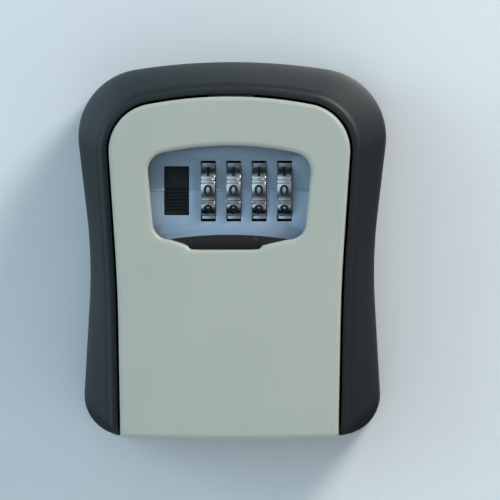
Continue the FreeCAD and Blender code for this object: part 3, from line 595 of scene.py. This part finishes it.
def cut_across(piece, height):
    only(piece)
    bpy.ops.object.mode_set(mode="EDIT")
    bpy.ops.mesh.select_all(action="SELECT")
    bpy.ops.mesh.bisect(plane_co=at(0, 0, height), plane_no=(0, 0, 1))
    bpy.ops.object.mode_set(mode="OBJECT")


panel = box_piece("panel_plate", PANEL["x"], PANEL["depth"], PANEL["height"])
for height in (FOLD - 0.55, FOLD - 0.15, FOLD + 0.3):
    cut_across(panel, height)
for vertex in panel.data.vertices:
    height = vertex.co.z * 1000 + WALL_CENTRE
    if vertex.co.y < -PANEL["depth"][1] / 1000 + 1e-6:
        drop = 0.9 * (1 - abs(height - FOLD) / 19)
        bead = 0.3 if abs(height - FOLD) < 0.2 else 0.0
        vertex.co.y += (drop - bead) / 1000
SLOTS = [(FIRST_WHEEL + index * WHEEL_PITCH, 75.5, 4.6, 18.7) for index in range(4)]
SLOTS.append((-16.5, 75.6, 7.7, 15.1))
for x, height, wide, tall in SLOTS:
    slot = box_piece("slot", (x - wide / 2, x + wide / 2), (30, 33), (height - tall / 2, height + tall / 2))
    carve(panel, slot)
for x, height in [(30.3, 59.5), (30.3, 91.0), (-30.3, 59.5), (-30.3, 91.0)]:
    carve(panel, rod_piece("hole", "Y", 1.3, 4, x, 31, height, 24))
soften(panel, 0.18, 2, 50)
# The panel's finish carries a painted blue sky reflection in its colour, over silver paint.
finish_piece(panel, "door", PANEL_SILVER_PAINTED_SKY_REFLECTION, "panel_silver", "dial_panel")

# %% [markdown]
# A number wheel has ten chromed tiles with a groove between each two. The tiles are slightly
# rounded, which is why each one shows a bright upper part and a dark lower part. The wheel is turned
# from a cylinder: rings of points are set to the tile's or the groove's radius,
# and the figures 0 to 9 stand on the tiles in black. It is made once and copied to the other three.

# %% One number wheel
TILES, TILE_TURN, TILE_HALF, GROOVE_HALF = 10, math.radians(36), math.radians(13.2), math.radians(15.4)
TILE_RADIUS, GROOVE_RADIUS, WHEEL_WIDTH = 10.05, 9.15, 4.3
TILE_ANGLES = [-GROOVE_HALF, -TILE_HALF, -TILE_HALF * 0.5, 0, TILE_HALF * 0.5, TILE_HALF, GROOVE_HALF]
PER_TILE = len(TILE_ANGLES)


def wheel_body():
    wheel = rod_piece("wheel", "X", TILE_RADIUS, WHEEL_WIDTH, FIRST_WHEEL, *WHEEL_AXIS,
                      points=TILES * PER_TILE)
    centre = at(0, *WHEEL_AXIS)
    spokes = sorted({round(math.atan2(v.co.z - centre.z, -(v.co.y - centre.y)), 4)
                     for v in wheel.data.vertices})
    for vertex in wheel.data.vertices:
        here = round(math.atan2(vertex.co.z - centre.z, -(vertex.co.y - centre.y)), 4)
        tile, place = divmod(spokes.index(here), PER_TILE)
        angle = -math.pi + TILE_TURN * tile + TILE_ANGLES[place] + TILE_TURN / 2 * (TILES % 2)
        far = GROOVE_RADIUS if place in (0, PER_TILE - 1) else TILE_RADIUS
        vertex.co.y = centre.y - far * math.cos(angle) / 1000
        vertex.co.z = centre.z + far * math.sin(angle) / 1000
    carve(wheel, rod_piece("bore", "X", 1.6, 8, FIRST_WHEEL, *WHEEL_AXIS, points=32))
    soften(wheel, 0.14, 2, 24)
    return wheel


def figure(digit, angle):
    """A black figure that stands on the tile at an angle above the front."""
    deselect()
    bpy.ops.object.text_add()
    text = bpy.context.object
    text.data.body = str(digit)
    text.data.size, text.data.extrude, text.data.offset = 0.0047, 0.00004, 0.00012
    text.data.align_x, text.data.align_y = "CENTER", "CENTER"
    text.data.resolution_u = 3
    bpy.ops.object.convert(target="MESH")
    figure_mesh = bpy.context.object
    figure_mesh.scale = (1.22, 1, 1)
    bpy.ops.object.transform_apply(location=False, rotation=False, scale=True)
    figure_mesh.rotation_euler = (math.pi / 2 - angle, 0, 0)
    far = TILE_RADIUS - 0.01
    figure_mesh.location = at(FIRST_WHEEL, WHEEL_AXIS[0] + far * math.cos(angle),
                              WHEEL_AXIS[1] + far * math.sin(angle))
    bpy.ops.object.transform_apply(location=True, rotation=True, scale=True)
    return figure_mesh


def joined(first, *others):
    only(first)
    for other in others:
        other.select_set(True)
    bpy.ops.object.join()
    return first


figures = [figure(digit, TILE_TURN * digit) for digit in range(TILES)]
figures = joined(*figures)
tidy_normals(figures)
figures.data.materials.append(DIGIT_BLACK)
wheel = wheel_body()
wheel.data.materials.append(CHROME)
wheel = joined(wheel, figures)
print("one wheel has", len(wheel.data.polygons), "faces")

# %% [markdown]
# The four wheels are the same plated casting on one axle. Each could be modelled again, but one wheel that
# is copied keeps them alike, and every copy has a mesh of its own so that it can turn by itself.

# %% Four wheels
for index in range(4):
    copy = wheel.copy()
    copy.data = wheel.data.copy()
    bpy.context.scene.collection.objects.link(copy)
    copy.name = copy.data.name = "wheel_tiles_%d" % (index + 1)
    only(copy)
    copy.location = (WHEEL_PITCH * index / 1000, 0, 0)
    bpy.ops.object.transform_apply(location=True, rotation=True, scale=True)
    finish_piece(copy, "wheel_%d" % (index + 1), CHROME, "wheel_chrome", "number_wheel_%d" % (index + 1))
bpy.data.objects.remove(wheel, do_unlink=True)

# %% [markdown]
# The opening button is black and smooth above, with seven fine ribs for a thumb below. The ribs are
# what is left between milled grooves, so they never stand proud of the button, which has to slide
# down behind the panel.

# %% The button
button = box_piece("button_grip", (-21, -12), (26.7, 30.4), (67.3, 88.5))
carve(button, rod_piece("thumb", "X", 9.0, 12, -16.5, 38.9, 81.6, points=96))
for number in range(7):
    low = 69.3 + number * 1.06
    carve(button, box_piece("groove", (-20.4, -12.6), (29.95, 31), (low, low + 0.46)))
soften(button, 0.12, 2, 30)
finish_piece(button, "opener", BUTTON_BLACK, "button_black", "open_button")

# %% [markdown]
# The weather shutter waits below the window with only its arched top and its finger tab in sight.
# Its top edge is cut across in many places and lifted to the arch, and the tab is a bar whose ends
# are rounded like a boat.

# %% The weather shutter
SHUTTER = {"x": (-26.9, 26.9), "depth": (36.2, 37.7), "height": (27.5, 59.1), "arch": 2.9}


def shutter_plate():
    plate = box_piece("shutter_plate", SHUTTER["x"], SHUTTER["depth"], SHUTTER["height"])
    only(plate)
    bpy.ops.object.mode_set(mode="EDIT")
    half = SHUTTER["x"][1]
    for step in range(1, 24):
        bpy.ops.mesh.select_all(action="SELECT")
        bpy.ops.mesh.bisect(plane_co=at(-half + 2 * half * step / 24, 0, 0), plane_no=(1, 0, 0))
    bpy.ops.object.mode_set(mode="OBJECT")
    top = at(0, 0, SHUTTER["height"][1]).z
    for vertex in plate.data.vertices:
        if vertex.co.z > top - 1e-6:
            vertex.co.z += SHUTTER["arch"] / 1000 * (1 - (vertex.co.x * 1000 / half) ** 2)
    return plate


plate = shutter_plate()
tab = box_piece("tab", (-12.1, 8.9), (37.2, 39.3), (57.35, 61.1))
only(tab)
bpy.ops.object.mode_set(mode="EDIT")
bpy.ops.mesh.select_mode(type="EDGE")
bpy.ops.mesh.select_all(action="DESELECT")
bpy.ops.object.mode_set(mode="OBJECT")
for edge in tab.data.edges:
    ends = [tab.data.vertices[number].co for number in edge.vertices]
    edge.select = abs(ends[0].y - ends[1].y) > 0.001
bpy.ops.object.mode_set(mode="EDIT")
bpy.ops.mesh.bevel(offset=0.0017, segments=6, affect="EDGES")
bpy.ops.object.mode_set(mode="OBJECT")
carve(plate, tab, "UNION")
soften(plate, 0.2, 3, 40)
finish_piece(plate, "shutter", SHUTTER_BLACK, "shutter_black", "weather_shutter")

# %% [markdown]
# Everything deeper keeps the model's own shape, and gets the finish that its material slot names.

# %% Finishes for the working parts
LOOKS = {
    "case_black": CASE_BLACK, "surround_charcoal": MOULDING, "door_sage": DOOR_PAINT,
    "panel_silver": PANEL_SILVER_PAINTED_SKY_REFLECTION, "wheel_chrome": CHROME, "button_black": BUTTON_BLACK,
    "shutter_black": SHUTTER_BLACK, "frame_plastic": FRAME_PLASTIC, "cover_steel": COVER_STEEL,
    "zinc_steel": ZINC, "bright_steel": BRIGHT_STEEL, "spring_steel": SPRING_STEEL,
    "cam_brass": BRASS, "bush_plastic": BUSH_PLASTIC,
}
slots = {node["node"]: node["material_slot"] for node in frame["record"]["subparts"]}
for name, node in frame["nodes"].items():
    if not node.material_slots:
        node.data.materials.append(None)
    for slot in node.material_slots:
        slot.material = LOOKS[slots[name]]
print(len(slots), "nodes have a finish")

# %% [markdown]
# The box is looked at from straight in front, from five metres away with a long lens, so that its
# sides hardly show. It hangs on a pale wall. The wall shows only from its own side, and only to the
# camera, so that the back of the box can be looked at too.

# %% Camera
eye = bpy.data.cameras.new("eye")
eye.lens, eye.sensor_width, eye.dof.use_dof = 1162.5, 36, False
camera = bpy.data.objects.new("camera", eye)
bpy.context.scene.collection.objects.link(camera)
target, away, swing = at(5.65, 15, 57.3), 5.0, math.radians(1.8)
camera.location = target + away * Vector((math.sin(swing), -math.cos(swing), 0))
camera.rotation_euler = (target - camera.location).to_track_quat("-Z", "Y").to_euler()
eye.clip_start, eye.clip_end = 0.01, 50
bpy.context.scene.camera = camera

# %% [markdown]
# The box hangs on a wall, with a floor below it. Two planes are enough, because they are a stage and
# no part of the object. The wall shows from one side and to the camera alone, and the floor is kept
# out of reflections, so that neither changes what the chrome mirrors.

# %% Wall and floor
def plane_piece(name, size, location, rotation):
    deselect()
    bpy.ops.mesh.primitive_plane_add(size=size, location=location, rotation=rotation)
    piece = bpy.context.object
    piece.name = name
    return piece


def one_sided(name, colour):
    sheet = Finish(name, colour, 0.9)
    facing = 1 - sheet.node("ShaderNodeNewGeometry", out="Backfacing")
    shown = facing * sheet.node("ShaderNodeLightPath", out="Is Camera Ray")
    clear = sheet.node("ShaderNodeBsdfTransparent")
    blend = sheet.node("ShaderNodeMixShader", None, {0: shown, 1: clear})
    sheet.tree.links.new(sheet.shader.outputs[0], blend.socket.node.inputs[2])
    sheet.tree.links.new(blend.socket, sheet.tree.nodes["Material Output"].inputs["Surface"])
    return sheet.material


wall = plane_piece("wall", 4, (0, 0.0003, 0), (math.pi / 2, 0, 0))
wall.data.materials.append(one_sided("wall_paper", (0.70, 0.74, 0.76)))
floor = plane_piece("floor", 4, (0, 0, -0.18), (0, 0, 0))
floor.data.materials.append(Finish("floor_paper", (0.72, 0.75, 0.77), 0.9).material)
floor.visible_glossy = False

# %% [markdown]
# The light is a soft window above and to the right. What the chrome mirrors matters as much: a
# bright band in front, dark below and grey above, brighter and bluer on the left than on the right.
# The camera itself sees a plain pale surround.

# %% Light
LEFT_SKY, RIGHT_SKY = (0.70, 0.95, 1.10, 1), (0.38, 0.40, 0.42, 1)


def studio(name):
    world = bpy.data.worlds.new(name)
    world.use_nodes = True
    bpy.context.scene.world = world
    tree = world.node_tree
    tree.nodes.clear()

    def add(kind, **settings):
        made = tree.nodes.new(kind)
        for key, value in settings.items():
            setattr(made, key, value)
        return made

    where = add("ShaderNodeTexCoord")
    parts = add("ShaderNodeSeparateXYZ")
    tree.links.new(where.outputs["Generated"], parts.inputs[0])
    ramp = add("ShaderNodeValToRGB")
    stops = [(0.0, 0.12), (0.08, 0.8), (0.18, 0.8), (0.24, 0.08), (0.46, 0.10), (0.53, 0.75), (0.80, 1.0),
             (0.88, 0.25), (1.0, 0.5)]
    while len(ramp.color_ramp.elements) < len(stops):
        ramp.color_ramp.elements.new(0.5)
    for element, (place, level) in zip(ramp.color_ramp.elements, stops):
        element.position, element.color = place, (level, level, level, 1)
    height = add("ShaderNodeMath", operation="MULTIPLY_ADD")
    height.inputs[1].default_value = height.inputs[2].default_value = 0.5
    tree.links.new(parts.outputs["Z"], height.inputs[0])
    tree.links.new(height.outputs[0], ramp.inputs[0])
    across = add("ShaderNodeMapRange", interpolation_type="SMOOTHSTEP")
    across.inputs["From Min"].default_value, across.inputs["From Max"].default_value = -0.25, 0.2
    tree.links.new(parts.outputs["X"], across.inputs["Value"])
    sides = add("ShaderNodeMix", data_type="RGBA", blend_type="MULTIPLY")
    tint = add("ShaderNodeMix", data_type="RGBA")
    tint.inputs[6].default_value, tint.inputs[7].default_value = LEFT_SKY, RIGHT_SKY
    tree.links.new(across.outputs[0], tint.inputs[0])
    sides.inputs[0].default_value = 1
    tree.links.new(ramp.outputs[0], sides.inputs[6])
    tree.links.new(tint.outputs[2], sides.inputs[7])
    lit, seen = add("ShaderNodeBackground"), add("ShaderNodeBackground")
    tree.links.new(sides.outputs[2], lit.inputs[0])
    lit.inputs[1].default_value = 0.9
    seen.inputs[0].default_value = (0.62, 0.66, 0.68, 1)
    path, pick, out = add("ShaderNodeLightPath"), add("ShaderNodeMixShader"), add("ShaderNodeOutputWorld")
    tree.links.new(path.outputs["Is Camera Ray"], pick.inputs[0])
    tree.links.new(lit.outputs[0], pick.inputs[1])
    tree.links.new(seen.outputs[0], pick.inputs[2])
    tree.links.new(pick.outputs[0], out.inputs[0])


def window_light(name, power, size, place, colour):
    light = bpy.data.lights.new(name, "AREA")
    light.energy, light.size, light.color, light.shape = power, size, colour, "SQUARE"
    lamp = bpy.data.objects.new(name, light)
    bpy.context.scene.collection.objects.link(lamp)
    lamp.location = place
    lamp.rotation_euler = (Vector((0, 0, 0)) - Vector(place)).to_track_quat("-Z", "Y").to_euler()
    return lamp


studio("studio")
window_light("key", 9.5, 0.35, (0.6, -0.42, 0.75), (1.0, 0.97, 0.93))
window_light("fill", 16, 1.4, (-1.8, -1.0, 0.3), (0.62, 0.85, 1.0))
window_light("rear", 6, 1.0, (0.6, 1.6, 1.0), (1.0, 1.0, 1.0))
bpy.context.scene.view_settings.view_transform = "Standard"
